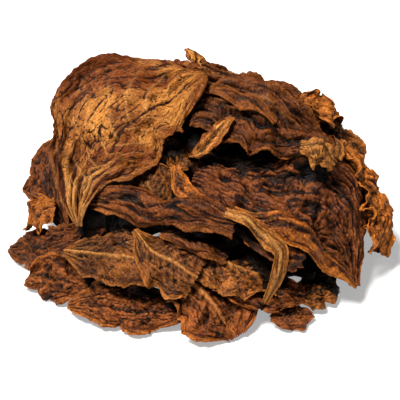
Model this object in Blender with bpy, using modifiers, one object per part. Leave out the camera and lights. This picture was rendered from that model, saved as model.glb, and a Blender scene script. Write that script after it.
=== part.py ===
"""A heap of dried tobacco leaves, every leaf a thin closed solid of its own.

Each leaf is a blade swept along a curved midrib. The leaves are laid one after
another, from the bed on the ground out to the top, and each is pressed outwards
only as far as the leaves already under it need. Metres, +Z up.
"""

import math
from dataclasses import dataclass

import bmesh
import bpy
import numpy as np

MM = 0.001
BLADE = 2.0 * MM  # thickness of each leaf
GAP = 0.5 * MM  # room left between a leaf and those under it
STALK = 3.5 * MM  # half the width of a blade where it ends
POLE = np.array([0.0, 0.0, -0.25])  # the leaves are pressed away from this point
CELL = 0.0075  # size of the squares in which heights are compared, as a slope
SPREAD = 1.2  # slope at which the compared squares end
REACH = 8 * MM  # how far to each side a leaf lifts with the point that is pressed
SLACK = 0.8  # how quickly the lift fades beyond that

TAN = (0.42, 0.185, 0.065)
GOLD = (0.40, 0.165, 0.05)
ORANGE = (0.36, 0.12, 0.03)
BROWN = (0.20, 0.072, 0.027)
RED_BROWN = (0.19, 0.058, 0.022)
DARK = (0.09, 0.032, 0.018)
UMBER = (0.055, 0.022, 0.013)


@dataclass
class Leaf:
    """Sizes in millimetres and degrees. The path is the midrib, from butt to tip."""

    name: str
    path: tuple
    left: float = 25
    right: float = 25
    widest: float = 0.5
    butt: float = 0.15
    tip: float = 0.15
    curl_left: float = 20
    curl_right: float = 20
    bend: float = 1.5
    roll: float = 0
    twist: float = 0
    ruffle: float = 3
    waves: float = 3
    buckle: float = 2
    ragged: float = 0.08
    steps: tuple = (9, 5)
    colour: tuple = BROWN
    seed: int = 1


def dome(turn, spread, shell):
    """Point on the heap's rounded body: spread is 0 at the top and 1 on the ground."""
    angle = math.radians(turn)
    drop = math.cos(0.5 * math.pi * spread) ** 0.8 if spread < 1 else 0.0
    x = -30 * (1 - spread) + 178 * spread * math.cos(angle)
    y = 38 * (1 - spread) + (12 + 140 * math.sin(angle)) * spread
    return (x * shell, y * shell, 168 * shell * drop)


def draped(turn, start, end, shell, sway=12, count=4):
    """Midrib lying down the side of the rounded body."""
    shares = [i / (count - 1) for i in range(count)]
    return tuple(
        dome(turn + sway * math.sin(math.pi * s), start + (end - start) * s, shell)
        for s in shares
    )


def bed_leaves():
    """Leaves lying nearly flat on the ground, under the rest."""
    turns = (26, 90, 154, 218, 270, 322)
    for i, turn in enumerate(turns):
        angle = math.radians(turn)
        points = []
        for reach, side in ((28, 0), (75, 10), (120, 6), (158, -6)):
            x = reach * math.cos(angle) * 1.08 - side * math.sin(angle)
            y = reach * math.sin(angle) * 0.86 + side * math.cos(angle)
            points.append((x, y + 4, 5 + 3 * (i % 2)))
        yield Leaf(
            f"bed_leaf_{i + 1}", tuple(points), 38, 38, curl_left=12, curl_right=16,
            ruffle=4, steps=(4, 4), colour=DARK, seed=100 + i,
        )


def core_leaves():
    """Leaves packed inside the heap, in three rounded layers."""
    layers = ((0.40, 2, 105), (0.52, 3, 55), (0.66, 5, 0))
    number = 0
    for shell, count, turn in layers:
        for i in range(count):
            number += 1
            way = turn + 360 * i / count
            yield Leaf(
                f"core_leaf_{number}", draped(way, 0.05, 0.88, shell), 44, 44,
                curl_left=-14, curl_right=-20, ruffle=3, steps=(5, 4),
                colour=UMBER, seed=200 + number,
            )
    yield Leaf(
        "core_leaf_11", ((-62, 18, 112), (-24, 30, 122), (20, 32, 122), (62, 26, 108)),
        44, 44, curl_left=-14, curl_right=-20, ruffle=3, steps=(5, 4), colour=UMBER,
        seed=212,
    )


def back_leaves():
    """Leaves on the far side of the heap."""
    rows = (
        (18, 0.50, 0.98, 38, BROWN), (48, 0.55, 1.0, 44, RED_BROWN),
        (78, 0.52, 0.98, 44, BROWN), (108, 0.56, 1.0, 46, DARK),
        (136, 0.52, 0.98, 42, RED_BROWN), (164, 0.56, 0.98, 34, BROWN),
        (60, 0.12, 0.66, 38, ORANGE), (100, 0.10, 0.66, 40, BROWN),
        (138, 0.14, 0.68, 36, GOLD), (22, 0.16, 0.66, 32, DARK),
    )
    for i, (turn, start, end, half, colour) in enumerate(rows):
        yield Leaf(
            f"back_leaf_{i + 1}", draped(turn, start, end, 0.93, sway=10 - 5 * (i % 3)),
            half, half, curl_left=-30 + 25 * (i % 3), curl_right=24 - 30 * (i % 2),
            ruffle=4, steps=(6, 4), colour=colour, seed=300 + i,
        )


def front_leaves():
    """The leaves that show from the front, lowest first."""
    small = (8, 4)
    long = (10, 4)
    return (
        Leaf("right_inner_leaf", ((40, 12, 104), (92, 2, 88), (136, -8, 58),
                                  (164, -14, 26)), 50, 42, curl_left=-15, curl_right=-20,
             ruffle=4, steps=small, colour=UMBER, seed=31),
        Leaf("left_rear_leaf", ((-128, -28, 34), (-146, 18, 52), (-152, 60, 66),
                                (-140, 92, 80)), 27, 26, curl_left=25, curl_right=-20,
             ruffle=5, ragged=0.18, steps=small, colour=DARK, seed=1),
        Leaf("right_edge_leaf", ((118, -36, 84), (146, -26, 70), (174, -8, 50),
                                 (194, 10, 28)), 32, 32, tip=0.4, curl_left=-20,
             curl_right=-25, ruffle=6, waves=4, ragged=0.16, steps=small,
             colour=ORANGE, seed=4),
        Leaf("right_rear_leaf", ((102, 48, 122), (132, 32, 112), (156, 16, 92),
                                 (176, 0, 60)), 44, 50, tip=0.4, curl_left=-20, curl_right=-20,
             ruffle=4, steps=small, colour=BROWN, seed=3),
        Leaf("far_left_leaf", ((-190, -20, 5), (-166, -38, 18), (-134, -52, 36),
                               (-106, -52, 54)), 22, 22, tip=0.5, curl_left=30,
             curl_right=-50, ruffle=5, ragged=0.15, steps=small, colour=RED_BROWN, seed=5),
        Leaf("orange_side_leaf", ((-172, -10, 18), (-154, -14, 30), (-132, -20, 44)),
             17, 18, tip=0.5, ruffle=4, ragged=0.15, steps=(6, 4), colour=ORANGE, seed=2),
        Leaf("left_foot_leaf", ((-166, -76, 6), (-147, -80, 17), (-125, -90, 20),
                                (-100, -100, 20)), 23, 24, tip=0.3, curl_left=40,
             curl_right=-110, ruffle=3, steps=small, colour=RED_BROWN, seed=6),
        Leaf("front_left_leaf", ((-120, -112, 8), (-92, -122, 18), (-60, -130, 18),
                                 (-28, -130, 14), (-4, -128, 14)), 30, 20, tip=0.4,
             curl_left=25, curl_right=-70, ruffle=4, waves=4, steps=long,
             colour=RED_BROWN, seed=7),
        Leaf("front_right_lump", ((68, -132, 10), (88, -128, 10), (110, -120, 4)),
             16, 15, curl_left=-60, curl_right=-60, ruffle=3, steps=(6, 4),
             colour=DARK, seed=8),
        Leaf("right_foot_leaf", ((90, -110, 16), (116, -100, 18), (138, -88, 8)),
             20, 18, curl_left=-40, curl_right=-60, ruffle=4, ragged=0.15,
             steps=(6, 4), colour=BROWN, seed=9),
        Leaf("front_flap_leaf", ((-6, -114, 40), (10, -126, 30), (26, -140, 15),
                                 (36, -151, 3)), 58, 36, widest=0.5, butt=0.8, tip=0.2,
             curl_left=-28, curl_right=-18, ruffle=2, steps=long, colour=RED_BROWN, seed=10),
        Leaf("crinkled_low_leaf", ((18, -112, 36), (50, -116, 28), (78, -114, 22),
                                   (100, -110, 14)), 28, 18, butt=0.6, tip=0.4,
             curl_left=30, curl_right=-60, ruffle=5, waves=5, ragged=0.15,
             colour=DARK, seed=11),
        Leaf("midrib_leaf", ((-124, -74, 42), (-95, -90, 53), (-67, -99, 56),
                             (-40, -108, 52), (-14, -118, 40)), 30, 30, widest=0.5,
             curl_left=-16, curl_right=-24, ruffle=3, steps=long, colour=BROWN, seed=12),
        Leaf("broad_brown_leaf", ((-14, -94, 60), (22, -104, 52), (50, -108, 44),
                                  (76, -106, 34)), 28, 28, butt=0.5, tip=0.6,
             curl_left=20, curl_right=-40, ruffle=4, waves=4, ragged=0.14,
             steps=long, colour=BROWN, seed=13),
        Leaf("tent_leaf", ((-56, -84, 76), (-38, -98, 60), (-16, -108, 46),
                           (2, -116, 36)), 26, 30, widest=0.62, tip=0.7,
             curl_left=-30, curl_right=-34, ruffle=3, ragged=0.12, colour=BROWN,
             seed=14),
        Leaf("rear_spike_leaf", ((8, 54, 108), (0, 62, 126), (-9, 70, 145)), 16, 15,
             tip=0.3, curl_left=50, curl_right=30, ruffle=1, buckle=1, steps=(6, 4),
             colour=TAN, seed=18),
        Leaf("dark_broad_leaf", ((152, -98, 20), (146, -66, 46), (120, -40, 74),
                                 (70, -42, 98), (2, -28, 114)), 80, 28, widest=0.55,
             butt=0.12, tip=0.5, curl_left=-45, curl_right=-30, ruffle=5, waves=4,
             buckle=3, steps=(11, 8), colour=DARK, seed=24),
        Leaf("right_crinkled_leaf", ((136, 2, 92), (154, -14, 74), (168, -32, 46),
                                     (168, -56, 18)), 26, 24, butt=0.5, tip=0.7,
             curl_left=-30, curl_right=30, ruffle=5, waves=4, ragged=0.16,
             steps=small, colour=ORANGE, seed=33),
        Leaf("wrinkled_bundle_leaf", ((4, 54, 157), (50, 57, 154), (92, 52, 142),
                                      (134, 40, 120)), 22, 38, butt=0.4, tip=0.6,
             curl_left=-35, curl_right=-10, ruffle=5, waves=4, buckle=3,
             colour=RED_BROWN, seed=15),
        Leaf("lower_bundle_leaf", ((0, 22, 144), (46, 12, 138), (88, -2, 128),
                                   (124, -14, 112)), 24, 44, butt=0.8, tip=0.6,
             curl_left=-20, curl_right=-30, ruffle=4, waves=4, buckle=3,
             colour=RED_BROWN, seed=32),
        Leaf("lobed_end_leaf", ((98, 30, 132), (120, 38, 128), (145, 45, 118)), 22, 22,
             tip=0.7, curl_left=30, curl_right=-30, ruffle=5, waves=3, ragged=0.2,
             steps=(6, 4), colour=ORANGE, seed=16),
        Leaf("small_roll_leaf", ((-34, -14, 126), (-18, -26, 120), (-4, -38, 110)),
             14, 14, butt=0.5, tip=0.5, curl_left=-90, curl_right=-60, ruffle=1,
             steps=(6, 4), colour=BROWN, seed=21),
        Leaf("shaded_leaf", ((-28, -74, 80), (-40, -56, 96), (-50, -30, 112)), 26, 28,
             curl_left=20, curl_right=15, ruffle=3, steps=small, colour=BROWN,
             seed=22),
        Leaf("pale_edge_leaf", ((-6, -38, 126), (14, -26, 129), (34, -8, 131)), 8, 8,
             butt=0.5, tip=0.4, curl_left=60, curl_right=-30, ruffle=3, waves=4,
             ragged=0.15, steps=small, colour=TAN, seed=23),
        Leaf("narrow_band_leaf", ((8, 14, 150), (24, 10, 146), (40, 3, 140),
                                  (56, -5, 132), (70, -15, 122)), 8, 8, butt=0.5,
             curl_left=60, curl_right=-90, ruffle=2, colour=RED_BROWN, seed=19),
        Leaf("pale_scroll_leaf", ((132, 14, 106), (131, -4, 100), (126, -24, 92)), 8, 8,
             butt=0.6, tip=0.6, curl_left=70, curl_right=70, ruffle=1, buckle=0,
             steps=small, colour=TAN, seed=17),
        Leaf("crinkled_curl_leaf", ((88, -34, 102), (104, -34, 98), (120, -38, 90)), 13, 13,
             butt=0.4, tip=0.4, curl_left=-80, curl_right=-80, ruffle=3, ragged=0.14,
             steps=small, colour=GOLD, seed=20),
        Leaf("golden_edge_leaf", ((-19, -46, 110), (-14, -60, 98), (-5, -69, 89),
                                  (12, -75, 82)), 10, 9, butt=0.5, tip=0.4,
             curl_left=50, curl_right=40, ruffle=2, waves=3, ragged=0.1, steps=small,
             colour=ORANGE, seed=25),
        Leaf("rolled_lip_leaf", ((32, -80, 80), (60, -90, 73), (96, -95, 60),
                                 (128, -97, 38), (149, -102, 20)), 13, 12, butt=0.5,
             curl_left=-130, curl_right=-60, ruffle=1, colour=ORANGE, seed=26),
        Leaf("lower_roll_leaf", ((-32, -88, 72), (-8, -94, 66), (30, -104, 58)), 13, 13,
             butt=0.4, tip=0.7, curl_left=-100, curl_right=-100, ruffle=1,
             steps=small, colour=RED_BROWN, seed=27),
        Leaf("long_roll_leaf", ((-108, -54, 90), (-78, -62, 86), (-50, -69, 80),
                                (-22, -80, 76), (6, -86, 70), (34, -94, 64)), 17, 17,
             butt=0.3, tip=0.7, curl_left=-110, curl_right=-110, ruffle=2,
             colour=RED_BROWN, seed=28),
        Leaf("twisted_ribbon_leaf", ((24, -92, 80), (50, -101, 74), (69, -110, 60),
                                     (70, -122, 44), (62, -132, 28)), 9, 9, butt=0.5,
             tip=0.4, curl_left=60, curl_right=60, twist=50, ruffle=1, buckle=1,
             colour=GOLD, seed=29),
        Leaf("fan_leaf", ((-106, -72, 64), (-94, -42, 98), (-68, -8, 134),
                          (-32, 12, 154), (10, 24, 158)), 78, 50, widest=0.57,
             butt=0.04, tip=0.12, curl_left=30, curl_right=-12, roll=-24, ruffle=4,
             waves=3, buckle=3, ragged=0.11, steps=(11, 8), colour=TAN, seed=30),
    )


def smooth_path(path, count=160):
    """Evenly spaced points on a smooth curve through the path."""
    knots = np.array(path, float) * MM
    knots = np.vstack([2 * knots[0] - knots[1], knots, 2 * knots[-1] - knots[-2]])
    dense = []
    for a, b, c, d in zip(knots, knots[1:], knots[2:], knots[3:]):
        t = np.linspace(0, 1, 40, endpoint=False)[:, None]
        dense.append(
            0.5 * (2 * b + (c - a) * t + (2 * a - 5 * b + 4 * c - d) * t**2
                   + (3 * b - a - 3 * c + d) * t**3)
        )
    dense = np.vstack(dense + [knots[-2][None]])
    run = np.append(0, np.cumsum(np.linalg.norm(np.diff(dense, axis=0), axis=1)))
    share = np.linspace(0, run[-1], count)
    return np.stack([np.interp(share, run, dense[:, k]) for k in range(3)], axis=1)


def unit(vectors):
    return vectors / np.linalg.norm(vectors, axis=-1, keepdims=True)


def half_widths(leaf, u, rng):
    """Share of the full half width at each station, for the left and right edges."""
    power = math.log(0.5) / math.log(leaf.widest)
    body = np.sin(math.pi * u**power) ** 0.8
    ends = leaf.butt * (1 - u) ** 2 + leaf.tip * u**2
    share = np.sqrt(body**2 + ends**2)
    sides = []
    for _ in range(2):
        notch = sum(
            np.sin(2 * math.pi * (cycles * u + rng.random())) / cycles**0.5
            for cycles in (1.7, 3.1, 4.6)
        )
        sides.append(share * (1 + leaf.ragged * notch * 0.6))
    return share, sides


def leaf_points(leaf, u, v):
    """Middle surface of a leaf: u runs from butt to tip and v from edge to edge."""
    rng = np.random.default_rng(leaf.seed)
    line = smooth_path(leaf.path)
    at = np.linspace(0, 1, len(line))
    middle = np.stack([np.interp(u, at, line[:, k]) for k in range(3)], axis=1)
    slope = unit(np.gradient(line, axis=0))
    forward = unit(np.stack([np.interp(u, at, slope[:, k]) for k in range(3)], axis=1))
    out = unit(middle - POLE)
    out = unit(out - forward * np.sum(out * forward, axis=1, keepdims=True))
    side = np.cross(forward, out)
    turn = np.radians(leaf.roll + leaf.twist * (u - 0.5))[:, None]
    side, out = (side * np.cos(turn) + out * np.sin(turn),
                 out * np.cos(turn) - side * np.sin(turn))

    share, edges = half_widths(leaf, u, rng)
    to_right = (v > 0)[None, :]
    width = np.where(to_right, leaf.right * edges[1][:, None],
                     leaf.left * edges[0][:, None]) * MM
    width = np.maximum(width, STALK)
    curl = np.radians(np.where(to_right, leaf.curl_right, leaf.curl_left))
    curl = curl * np.minimum(share, 1)[:, None]
    away = np.abs(v)[None, :]
    parts = (np.arange(24) + 0.5) / 24
    angles = curl[..., None] * (away[..., None] * parts) ** leaf.bend
    across = np.cos(angles).mean(axis=2) * away * width
    lifted = np.sin(angles).mean(axis=2) * away * width
    sign = np.where(to_right, 1.0, -1.0)
    edge_angle = curl * away**leaf.bend
    normal = (out[:, None] * np.cos(edge_angle)[..., None]
              - side[:, None] * (sign * np.sin(edge_angle))[..., None])

    uu, vv = np.meshgrid(u, v, indexing="ij")
    ripple = np.zeros_like(uu)
    for edge in (-1, 1):
        phase = rng.random()
        wave = np.sin(2 * math.pi * (leaf.waves * uu + phase))
        ripple += leaf.ruffle * wave * np.clip(edge * vv, 0, 1) ** 1.6
    for _ in range(3):
        fu, fv, phase = rng.uniform(0.5, 2.2), rng.uniform(-1.0, 1.0), rng.random()
        ripple += leaf.buckle * 0.6 * np.sin(2 * math.pi * (fu * uu + fv * vv + phase))
    ripple *= MM * np.minimum(share, 1)[:, None]
    return (middle[:, None]
            + side[:, None] * (sign * across)[..., None]
            + out[:, None] * lifted[..., None]
            + normal * ripple[..., None])


def faces_of(rows, columns):
    """Corner numbers of the triangles of a grid of points."""
    first = (np.arange(rows)[:, None] * (columns + 1) + np.arange(columns)).ravel()
    across = first + columns + 1
    return np.vstack([np.stack([first, across, across + 1], axis=1),
                      np.stack([first, across + 1, first + 1], axis=1)])


def grid_normals(points):
    along = np.gradient(points, axis=0)
    across = np.gradient(points, axis=1)
    return unit(np.cross(across, along))


def triangle_samples(corners, fineness=16):
    """Points spread evenly over every triangle."""
    shares = [(i, j, fineness - i - j)
              for i in range(fineness + 1) for j in range(fineness + 1 - i)]
    weights = np.array(shares) / fineness
    return np.einsum("sk,tkd->tsd", weights, corners).reshape(-1, 3)


class Heap:
    """How far from the pole the leaves laid so far reach, square by square."""

    def __init__(self):
        self.size = int(2 * SPREAD / CELL)
        centres = (np.arange(self.size) + 0.5) * CELL - SPREAD
        x, y = np.meshgrid(centres, centres, indexing="ij")
        self.centres = np.stack([x, y], axis=2)
        self.reach = -POLE[2] * np.sqrt(1 + x**2 + y**2) - GAP

    def squares(self, points):
        offset = points - POLE
        place = np.floor((offset[:, :2] / offset[:, 2:] + SPREAD) / CELL).astype(int)
        return place[:, 0], place[:, 1], np.linalg.norm(offset, axis=1)

    def both_sides(self, points, faces):
        shift = grid_normals(points) * BLADE / 2
        sides = [(points + sign * shift).reshape(-1, 3)[faces] for sign in (1, -1)]
        return self.squares(triangle_samples(np.vstack(sides)))

    def lay(self, points):
        """Press the leaf clear of the heap, add it, and return its points."""
        rows, columns = points.shape[0] - 1, points.shape[1] - 1
        faces = faces_of(rows, columns)
        ray = unit(points - POLE)
        lifts = np.zeros(points.shape[:2])
        for step in range(20):
            placed = points + ray * lifts[..., None]
            x, y, far = self.both_sides(placed, faces)
            lowest = np.full(self.reach.shape, np.inf)
            np.minimum.at(lowest, (x, y), far)
            need = np.where(np.isfinite(lowest), self.reach + GAP - lowest, -1)
            tight = need > 0
            if not tight.any():
                break
            offset = placed - POLE
            slope = offset[..., :2] / offset[..., 2:]
            gap = slope[:, :, None] - self.centres[tight]
            away = np.linalg.norm(gap, axis=3) * offset[..., 2:]
            beyond = np.maximum(away - REACH * (1 + 0.4 * step), 0)
            more = need[tight] + 0.02 * MM - SLACK * beyond
            lifts += np.maximum(more.max(axis=2), 0)
        highest = np.zeros(self.reach.shape)
        np.maximum.at(highest, (x, y), far)
        self.reach = np.maximum(self.reach, highest)
        return placed


def clear_scene():
    for thing in list(bpy.data.objects):
        bpy.data.objects.remove(thing, do_unlink=True)


def make_material(name, colour):
    material = bpy.data.materials.new(name)
    material.use_nodes = True
    shader = material.node_tree.nodes["Principled BSDF"]
    shader.inputs["Base Color"].default_value = (*colour, 1)
    shader.inputs["Roughness"].default_value = 0.6
    shader.inputs["Metallic"].default_value = 0.0
    return material


def make_leaf(leaf, points, collection):
    """A grid moved onto the leaf's surface and thickened into a closed solid."""
    rows, columns = leaf.steps
    shape = bmesh.new()
    bmesh.ops.create_grid(shape, x_segments=rows, y_segments=columns, size=0.5)
    for vertex in shape.verts:
        row = round((vertex.co.x + 0.5) * rows)
        column = round((vertex.co.y + 0.5) * columns)
        vertex.co = points[row, column]
    bmesh.ops.triangulate(shape, faces=shape.faces[:], quad_method="FIXED")
    mesh = bpy.data.meshes.new(leaf.name)
    shape.to_mesh(mesh)
    shape.free()
    blade = bpy.data.objects.new(leaf.name, mesh)
    thicken = blade.modifiers.new("blade", "SOLIDIFY")
    thicken.thickness = BLADE
    thicken.offset = 0
    mesh.materials.append(make_material(leaf.name, leaf.colour))
    collection.objects.link(blade)
    return blade


def main():
    clear_scene()
    collection = bpy.data.collections.new("dried_tobacco_leaves")
    bpy.context.scene.collection.children.link(collection)
    leaves = [*bed_leaves(), *core_leaves(), *back_leaves(), *front_leaves()]
    heap = Heap()
    placed = []
    for leaf in leaves:
        rows, columns = leaf.steps
        u = np.linspace(0, 1, rows + 1)
        v = np.linspace(-1, 1, columns + 1)
        points = heap.lay(leaf_points(leaf, u, v))
        placed.append(points)
    corners = np.vstack([points.reshape(-1, 3) for points in placed])
    low, high = corners.min(axis=0), corners.max(axis=0)
    shift = np.array([(low[0] + high[0]) / 2, (low[1] + high[1]) / 2, low[2] - BLADE / 2])
    for leaf, points in zip(leaves, placed):
        make_leaf(leaf, points - shift, collection)


main()
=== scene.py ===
import math
from dataclasses import dataclass, replace

import bpy
import numpy as np
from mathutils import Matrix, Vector


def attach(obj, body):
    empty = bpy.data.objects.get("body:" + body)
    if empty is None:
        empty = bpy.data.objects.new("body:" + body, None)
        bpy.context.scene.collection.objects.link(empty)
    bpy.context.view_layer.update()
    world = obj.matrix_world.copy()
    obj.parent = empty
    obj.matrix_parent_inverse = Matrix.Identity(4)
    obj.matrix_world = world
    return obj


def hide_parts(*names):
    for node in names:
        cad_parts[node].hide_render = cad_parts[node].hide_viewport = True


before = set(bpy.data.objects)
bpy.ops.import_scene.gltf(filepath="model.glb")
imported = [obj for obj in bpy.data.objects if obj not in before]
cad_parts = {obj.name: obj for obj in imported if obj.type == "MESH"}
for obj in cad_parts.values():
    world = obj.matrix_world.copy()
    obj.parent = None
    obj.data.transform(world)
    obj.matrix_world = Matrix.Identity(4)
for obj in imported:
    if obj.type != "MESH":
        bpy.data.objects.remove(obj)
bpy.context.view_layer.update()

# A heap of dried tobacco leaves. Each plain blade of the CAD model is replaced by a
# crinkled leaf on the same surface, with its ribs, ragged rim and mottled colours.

MM = 0.001
BLADE = 2.0 * MM  # thickness of each leaf
GAP = 0.5 * MM  # room left between a leaf and those under it
STALK = 3.5 * MM  # half the width of a blade where it ends
POLE = np.array([0.0, 0.0, -0.25])  # the leaves are pressed away from this point
CELL = 0.0075  # size of the squares in which heights are compared, as a slope
SPREAD = 1.2  # slope at which the compared squares end
REACH = 8 * MM  # how far to each side a leaf lifts with the point that is pressed
SLACK = 0.8  # how quickly the lift fades beyond that
THIN_BLADE = 0.5 * MM  # thickness of each detailed leaf
FINE_CELL = 0.005  # size of the squares that the detailed leaves are compared in
MOST_EASE = 3 * MM  # how far a detailed leaf may lift off those below it
LOWEST = 0.4 * MM  # height that no leaf goes below
WIDER = 1.2  # hidden leaves are this much broader, to close the gaps between them
WIDE = 30  # half width in mm from which a leaf is torn and folded at full size
FEWEST_COLUMNS = 12  # steps across the narrowest leaf
VEIN_STEP = 0.098  # room between side veins, as a share of the leaf's length
STRIPES = 3.2  # stripes on each half of a leaf at its butt
SHADED_DEPTH = (0.002, 0.020)  # metres under the heap's outside where shade starts and ends
DEEP_SHADE = 0.06  # brightness left at the deeper end

TAN = "tan_leaf"
GOLD = "golden_leaf"
ORANGE = "orange_leaf"
BROWN = "brown_leaf"
RED_BROWN = "red_brown_leaf"
DARK = "dark_leaf"
UMBER = "umber_leaf"


@dataclass
class Leaf:
    """One leaf, with sizes in millimetres and turns in degrees."""

    name: str
    path: tuple  # points of the midrib, from butt to tip
    left: float = 25  # half widths to the left and right of the midrib
    right: float = 25
    widest: float = 0.5  # share of the length at which the leaf is widest
    butt: float = 0.15  # widths left at the ends, as shares of the full width
    tip: float = 0.15
    curl_left: float = 20  # how far the blade turns up towards each edge
    curl_right: float = 20
    bend: float = 1.5  # above 1, the curl gathers near the edges
    roll: float = 0  # turn of the whole blade about its midrib
    twist: float = 0  # change of that turn from butt to tip
    ruffle: float = 3  # height of the waves along the edges
    waves: float = 3  # number of those waves
    buckle: float = 2  # height of the broad swells
    ragged: float = 0.08  # unevenness of the outline
    steps: tuple = (9, 5)  # steps along and across the plain blade
    colour: str = BROWN
    seed: int = 1


def dome(turn, spread, shell):
    """Point on the heap's rounded body: spread is 0 at the top and 1 on the ground."""
    angle = math.radians(turn)
    drop = math.cos(0.5 * math.pi * spread) ** 0.8 if spread < 1 else 0.0
    x = -30 * (1 - spread) + 178 * spread * math.cos(angle)
    y = 38 * (1 - spread) + (12 + 140 * math.sin(angle)) * spread
    return (x * shell, y * shell, 168 * shell * drop)


def draped(turn, start, end, shell, sway=12, count=4):
    """Midrib lying down the side of the rounded body."""
    shares = [i / (count - 1) for i in range(count)]
    return tuple(
        dome(turn + sway * math.sin(math.pi * s), start + (end - start) * s, shell)
        for s in shares
    )


def bed_leaves():
    """Leaves lying nearly flat on the ground, under the rest."""
    turns = (26, 90, 154, 218, 270, 322)
    for i, turn in enumerate(turns):
        angle = math.radians(turn)
        points = []
        for reach, side in ((28, 0), (75, 10), (120, 6), (158, -6)):
            x = reach * math.cos(angle) * 1.08 - side * math.sin(angle)
            y = reach * math.sin(angle) * 0.86 + side * math.cos(angle)
            points.append((x, y + 4, 5 + 3 * (i % 2)))
        yield Leaf(
            f"bed_leaf_{i + 1}", tuple(points), 38, 38, curl_left=12, curl_right=16,
            ruffle=4, steps=(4, 4), colour=DARK, seed=100 + i,
        )


def core_leaves():
    """Leaves packed inside the heap, in three rounded layers."""
    layers = ((0.40, 2, 105), (0.52, 3, 55), (0.66, 5, 0))
    number = 0
    for shell, count, turn in layers:
        for i in range(count):
            number += 1
            way = turn + 360 * i / count
            yield Leaf(
                f"core_leaf_{number}", draped(way, 0.05, 0.88, shell), 44, 44,
                curl_left=-14, curl_right=-20, ruffle=3, steps=(5, 4),
                colour=UMBER, seed=200 + number,
            )
    yield Leaf(
        "core_leaf_11", ((-62, 18, 112), (-24, 30, 122), (20, 32, 122), (62, 26, 108)),
        44, 44, curl_left=-14, curl_right=-20, ruffle=3, steps=(5, 4), colour=UMBER,
        seed=212,
    )


def back_leaves():
    """Leaves on the far side of the heap."""
    rows = (
        (18, 0.50, 0.98, 38, BROWN), (48, 0.55, 1.0, 44, RED_BROWN),
        (78, 0.52, 0.98, 44, BROWN), (108, 0.56, 1.0, 46, DARK),
        (136, 0.52, 0.98, 42, RED_BROWN), (164, 0.56, 0.98, 34, BROWN),
        (60, 0.12, 0.66, 38, ORANGE), (100, 0.10, 0.66, 40, BROWN),
        (138, 0.14, 0.68, 36, GOLD), (22, 0.16, 0.66, 32, DARK),
    )
    for i, (turn, start, end, half, colour) in enumerate(rows):
        yield Leaf(
            f"back_leaf_{i + 1}", draped(turn, start, end, 0.93, sway=10 - 5 * (i % 3)),
            half, half, curl_left=-30 + 25 * (i % 3), curl_right=24 - 30 * (i % 2),
            ruffle=4, steps=(6, 4), colour=colour, seed=300 + i,
        )


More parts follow.
